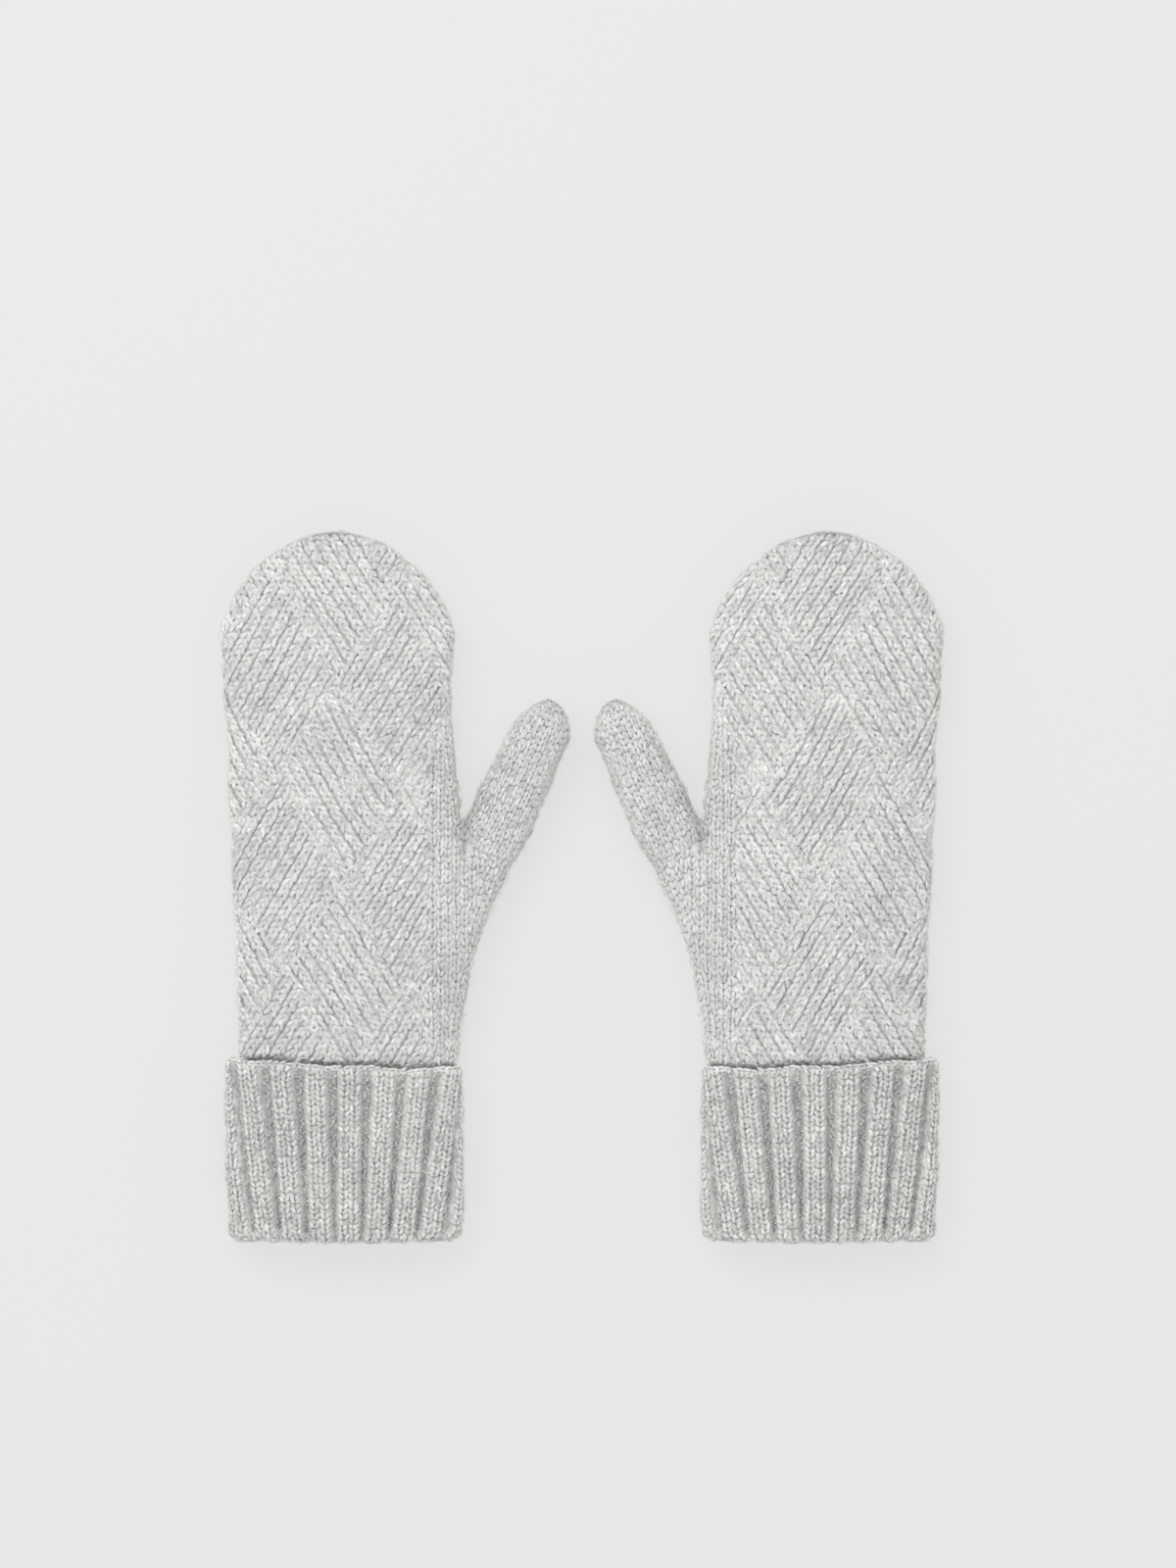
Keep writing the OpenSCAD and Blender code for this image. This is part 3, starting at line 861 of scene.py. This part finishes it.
def heather(name, dark, light, low, depth, sheen=0.35):
    """Soft heather wool: pale and grey fibres along the yarn, with a soft bump."""
    material = bpy.data.materials.new(name)
    material.use_nodes = True
    nodes, links = material.node_tree.nodes, material.node_tree.links
    nodes.clear()

    def node(kind, **values):
        """A new node, with values for its inputs or settings."""
        made = nodes.new(kind)
        for key, value in values.items():
            if key in made.inputs.keys():
                made.inputs[key].default_value = value
            else:
                setattr(made, key, value)
        return made

    def add(source, factor, other):
        """source times factor, plus the other value."""
        made = node("ShaderNodeMath", operation="MULTIPLY_ADD")
        links.new(source, made.inputs[0])
        made.inputs[1].default_value = factor
        links.new(other, made.inputs[2])
        return made.outputs[0]

    out = node("ShaderNodeOutputMaterial")
    shader = node("ShaderNodeBsdfPrincipled")
    shader.inputs["Sheen Weight"].default_value = sheen
    shader.inputs["Sheen Roughness"].default_value = 0.6
    shader.inputs["Specular IOR Level"].default_value = 0.15
    links.new(shader.outputs[0], out.inputs[0])

    strand = node("ShaderNodeAttribute", attribute_name="strand")
    stretch = node("ShaderNodeMapping")
    stretch.inputs["Scale"].default_value = (1.6, 1.6, 0.25)
    links.new(strand.outputs["Vector"], stretch.inputs["Vector"])
    fibres = node("ShaderNodeTexNoise", Scale=1.5, Detail=3.0, Roughness=0.65)
    links.new(stretch.outputs[0], fibres.inputs["Vector"])
    place = node("ShaderNodeTexCoord")
    flecks = node("ShaderNodeTexNoise", Scale=420.0, Detail=3.0, Roughness=0.6)
    links.new(place.outputs["Object"], flecks.inputs["Vector"])
    cloud = node("ShaderNodeTexNoise", Scale=45.0, Detail=2.0, Roughness=0.5)
    links.new(place.outputs["Object"], cloud.inputs["Vector"])
    # The attribute read here holds each leg's random shift in colour, and the painted shade taken
    # off it.
    tone_and_shade = node("ShaderNodeAttribute", attribute_name="tone_and_shade")

    total = add(fibres.outputs["Fac"], 0.9, flecks.outputs["Fac"])
    total = add(tone_and_shade.outputs["Fac"], 0.14, total)
    total = add(cloud.outputs["Fac"], 0.35, total)
    ramp = node("ShaderNodeMapRange")
    ramp.data_type = "FLOAT"
    ramp.inputs["From Min"].default_value = low
    ramp.inputs["From Max"].default_value = 1.36
    links.new(total, ramp.inputs["Value"])
    colours = node("ShaderNodeValToRGB")
    colours.color_ramp.elements[0].color = (*dark, 1)
    colours.color_ramp.elements[1].color = (*light, 1)
    links.new(ramp.outputs[0], colours.inputs["Fac"])
    links.new(colours.outputs["Color"], shader.inputs["Base Color"])

    fine = node("ShaderNodeTexNoise", Scale=1900.0, Detail=2.0, Roughness=0.6)
    links.new(place.outputs["Object"], fine.inputs["Vector"])
    bump = node("ShaderNodeBump", Strength=0.55, Distance=depth)
    links.new(add(fine.outputs["Fac"], 0.5, fibres.outputs["Fac"]), bump.inputs["Height"])
    links.new(bump.outputs[0], shader.inputs["Normal"])
    rough = node("ShaderNodeMapRange")
    rough.inputs["To Min"].default_value = 0.82
    rough.inputs["To Max"].default_value = 1.0
    links.new(flecks.outputs["Fac"], rough.inputs["Value"])
    links.new(rough.outputs[0], shader.inputs["Roughness"])
    return material


# The ramps' dark ends and lower bounds are set so that the painted shade carried by each vertex can
# reach near black.
WOOL = heather("heather_wool", (0.12, 0.12, 0.117), (0.93, 0.93, 0.905), 0.045, 0.0005)
RIB_WOOL = heather("heather_rib_wool", (0.1, 0.1, 0.097), (0.95, 0.95, 0.92), 0.3, 0.0005)
CORE_WOOL = heather("heather_core_wool", (0.1, 0.1, 0.097), (0.88, 0.88, 0.855), 0.28, 0.0004, 0.15)


# --- making pieces for both mittens ---

def mesh_of(name, verts, faces, strand, tone_and_shade):
    """A smooth mesh that also keeps, for each vertex, its place along its strand and its shift in
    colour: random, and painted shade.
    """
    mesh = bpy.data.meshes.new(name)
    mesh.vertices.add(len(verts))
    mesh.vertices.foreach_set("co", np.ascontiguousarray(verts, dtype=np.float32).ravel())
    size = faces.shape[1]
    mesh.loops.add(faces.size)
    mesh.loops.foreach_set("vertex_index", np.ascontiguousarray(faces, dtype=np.int32).ravel())
    mesh.polygons.add(len(faces))
    mesh.polygons.foreach_set("loop_start", np.arange(len(faces), dtype=np.int32) * size)
    mesh.update(calc_edges=True)
    mesh.shade_smooth()
    vector = mesh.attributes.new("strand", "FLOAT_VECTOR", "POINT")
    vector.data.foreach_set("vector", np.ascontiguousarray(strand, dtype=np.float32).ravel())
    value = mesh.attributes.new("tone_and_shade", "FLOAT", "POINT")
    value.data.foreach_set("value", np.ascontiguousarray(tone_and_shade, dtype=np.float32).ravel())
    return mesh


# No yarn comes lower than this over the floor.
LOWEST = 0.05


def both_hands(name, parts, material, body=None, nodes=()):
    """Makes the piece for the left mitten, and its mirror image for the right one.

    A piece with a body hangs from that body's empty; one with none has its placing baked into its
    mesh.
    """
    verts, faces, strand, tone_and_shade = parts
    verts[:, 2] = np.maximum(verts[:, 2], LOWEST)
    made = []
    for side, sign in (("left", 1), ("right", -1)):
        placed = (verts + np.array([CENTRE_X, 0, 0])) * np.array([sign, 1, 1]) * MM
        turned = faces if sign > 0 else faces[:, ::-1]
        obj = bpy.data.objects.new(f"{side}_{name}", mesh_of(name, placed, turned, strand, tone_and_shade))
        bpy.context.scene.collection.objects.link(obj)
        obj.data.materials.append(material)
        made.append(obj)
        if nodes:
            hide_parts(*[f"{side}_{n}" for n in nodes])
        if body:
            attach(obj, f"{side}_{body}")
        else:
            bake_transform(obj)
    return made


# The fabric's mesh has rows of points about this far apart.
FABRIC_ROW = 1.6


def fabric(surface, last, outside, inside, relief, columns=180):
    """A closed layer of fabric: an outer and an inner skin, from the surface's start to a length."""
    count = int(last / FABRIC_ROW)
    l = np.linspace(0, last, count)
    girth = surface.girth_at(l)
    f = np.arange(columns) / columns
    f = np.where(f > 0.5, f - 1, f)
    s = girth[:, None] * f[None, :]
    lengths = np.broadcast_to(l[:, None], s.shape)
    pos, nrm = surface.at(s, lengths)
    lift = relief(s, lengths)[..., None]
    outer, inner = pos + nrm * (outside + lift), pos + nrm * (inside + lift)
    total = count * columns
    grid = np.arange(total).reshape(count, columns)
    right = np.roll(grid, -1, axis=1)
    out = np.stack([grid[:-1], right[:-1], right[1:], grid[1:]], axis=-1).reshape(-1, 4)
    faces = [out, out[:, ::-1] + total]
    for row, turn in ((0, 1), (count - 1, -1)):
        rim = np.stack([grid[row], grid[row] + total, right[row] + total, right[row]], axis=-1)
        faces.append(rim[:, ::turn])
    verts = np.concatenate([outer.reshape(-1, 3), inner.reshape(-1, 3)])
    # Darker where the fabric sinks with its relief: painted shade in grooves and hollows.
    tone_and_shade = 0.5 + 0.9 * lift.reshape(-1)
    return verts, np.concatenate(faces), verts * 1.0, np.concatenate([tone_and_shade, tone_and_shade])


hand = Surface(hand_ring, HAND_START, TIP_Y - YARN, 100)
palm = Surface(palm_ring, HAND_START, TIP_Y - YARN, 100)
thumb = Surface(thumb_ring, THUMB_START, THUMB_LEN, 50)
cuff = Surface(cuff_ring, 0, CUFF_RUN, 120)
band = Surface(band_ring, BAND_END, HAND_Y + 3, 110)

# Length along the hand at which the fingertips start to round off.
TIP_L = DOME_Y - HAND_START


def add_hand():
    """The hand: its fabric, and the stitches of its back, its fingertips and its palm."""
    knit = fabric(hand, hand.length - 0.2, 0.0, -1.3, plain_relief)
    sheets = both_hands("hand_fabric", shadowed(knit), CORE_WOOL, "hand",
                        ["palm_panel", "fingertip_palm"])
    for name, lean, nodes in (("patch_stitches_a", 1, ["back_panel"]), ("patch_stitches_b", -1, [])):
        both_hands(name, shadowed(make_patches(hand, [lean], 0, TIP_L)), WOOL,
                   "hand", nodes)
    both_hands("fingertip_stitches", make_patches(hand, [1, -1], TIP_L, hand.length), WOOL,
               "hand", ["fingertip_back"])
    both_hands("column_stitches", shadowed(make_columns(hand)), WOOL, "hand")
    both_hands("palm_stitches", make_palm(palm), WOOL, "hand")
    return sheets


def add_thumb():
    """The thumb and its gusset: their fabric and stitches."""
    knit = fabric(thumb, thumb.length - 0.2, 0.0, -1.3, thumb_relief)
    sheets = both_hands("thumb_fabric", shadowed(knit), CORE_WOOL,
                        nodes=["thumb_palm", "gusset_palm"])
    both_hands("thumb_stitches", shadowed(make_thumb(thumb)), WOOL,
               nodes=["thumb_back", "gusset_back"])
    return sheets


def add_fibres():
    """Loose fibres on the hand and the thumb."""
    fibres = fuzz(hand, 16000, 0.5, hand.length - 0.5, patch_relief, covered_by_thumb)
    both_hands("hand_fuzz", fibres, WOOL, "hand")
    fibres = fuzz(thumb, 2200, 9, thumb.length - 0.5, thumb_relief, under_hand)
    both_hands("thumb_fuzz", fibres, WOOL)


def add_cuff():
    """The turned-up cuff: fabric, ribs outside and inside its fold, fibres and upper edge."""
    relief = rib_relief(cuff, RIB_DEPTH)
    knit = fabric(cuff, CUFF_RUN, -0.3, -1.2, relief, 240)
    sheets = both_hands("cuff_fabric", knit, CORE_WOOL, "cuff", ["cuff_fold_palm"])
    ribs = make_ribbing(cuff, FOLD_L, CUFF_RUN - 0.6, relief)
    both_hands("cuff_stitches", ribs, RIB_WOOL, "cuff", ["cuff_fold_back"])
    ribs = make_ribbing(cuff, 0.5, FOLD_L - 1, relief, 0)
    both_hands("cuff_return_stitches", ribs, RIB_WOOL, "cuff", ["cuff_roll"])
    fibres = fuzz(cuff, 9000, RETURN, CUFF_RUN - 1, relief)
    both_hands("cuff_fuzz", fibres, RIB_WOOL, "cuff")
    both_hands("cuff_edge_chain", make_top_edge(cuff, relief), RIB_WOOL, "cuff",
               ["cuff_edge"])
    return sheets


def add_band():
    """The ribbed inner band that the cuff is folded over."""
    relief = rib_relief(band, 1.2, 0.1, 2.0)
    knit = fabric(band, band.length, -0.1, -1.0, relief)
    sheets = both_hands("band_fabric", knit, CORE_WOOL, "hand", ["cuff_band_palm"])
    # Its knit stitches are painted darker: painted shade standing in for the gaps and loose fibres
    # the band lacks.
    ribs = make_ribbing(band, 1, band.length - 2, relief, 2, 0.9)
    both_hands("band_stitches", ribs, RIB_WOOL, "hand", ["cuff_band_back"])
    return sheets


def add_closings():
    """The grafted fingertips, and the gathered end of the thumb."""
    both_hands("tip_graft", make_edge(hand, hand.length - 3, 3.2), WOOL, "hand",
               ["tip_graft"])
    both_hands("thumb_gather", make_edge(thumb, thumb.length - 2.5, 3.0), WOOL,
               nodes=["thumb_gather"])


hand_sheets = add_hand()
thumb_sheets = add_thumb()
add_fibres()
cuff_sheets = add_cuff()
band_sheets = add_band()
add_closings()


# --- floor, light and camera ---

def floor_material():
    """An even pale grey, with no gloss."""
    material = bpy.data.materials.new("pale_floor")
    material.use_nodes = True
    shader = material.node_tree.nodes["Principled BSDF"]
    shader.inputs["Base Color"].default_value = (0.15, 0.15, 0.15, 1)
    shader.inputs["Roughness"].default_value = 1.0
    shader.inputs["Specular IOR Level"].default_value = 0.0
    shader.inputs["Emission Color"].default_value = (1, 1, 1, 1)
    shader.inputs["Emission Strength"].default_value = 0.64
    return material


def make_studio():
    """A wide floor, a white surrounding, and one large lamp behind to the left."""
    bpy.ops.mesh.primitive_plane_add(size=30, location=(0, 0, -0.0004))
    floor = bpy.context.object
    floor.name = "floor"
    floor.data.materials.append(floor_material())
    world = bpy.data.worlds.new("studio")
    world.use_nodes = True
    world.node_tree.nodes["Background"].inputs["Color"].default_value = (1, 1, 1, 1)
    world.node_tree.nodes["Background"].inputs["Strength"].default_value = 0.9
    bpy.context.scene.world = world
    light = bpy.data.lights.new("softbox", "AREA")
    light.shape = "RECTANGLE"
    light.size, light.size_y = 1.4, 1.0
    light.energy = 11
    obj = bpy.data.objects.new("softbox", light)
    obj.location = (-0.5, 0.9, 1.3)
    obj.rotation_euler = (math.radians(-34), math.radians(-21), 0)
    bpy.context.scene.collection.objects.link(obj)


def make_camera():
    """Straight above the pair, a little towards the fingertips."""
    camera = bpy.data.cameras.new("camera")
    camera.type = "PERSP"
    camera.lens = 90
    camera.sensor_width = 36
    obj = bpy.data.objects.new("camera", camera)
    obj.location = (0.0024, 0.0422, MID_Z * MM + 1.6)
    obj.rotation_euler = (0, 0, 0)
    bpy.context.scene.collection.objects.link(obj)
    bpy.context.scene.camera = obj


make_studio()
make_camera()
bpy.context.scene.view_settings.view_transform = "Standard"
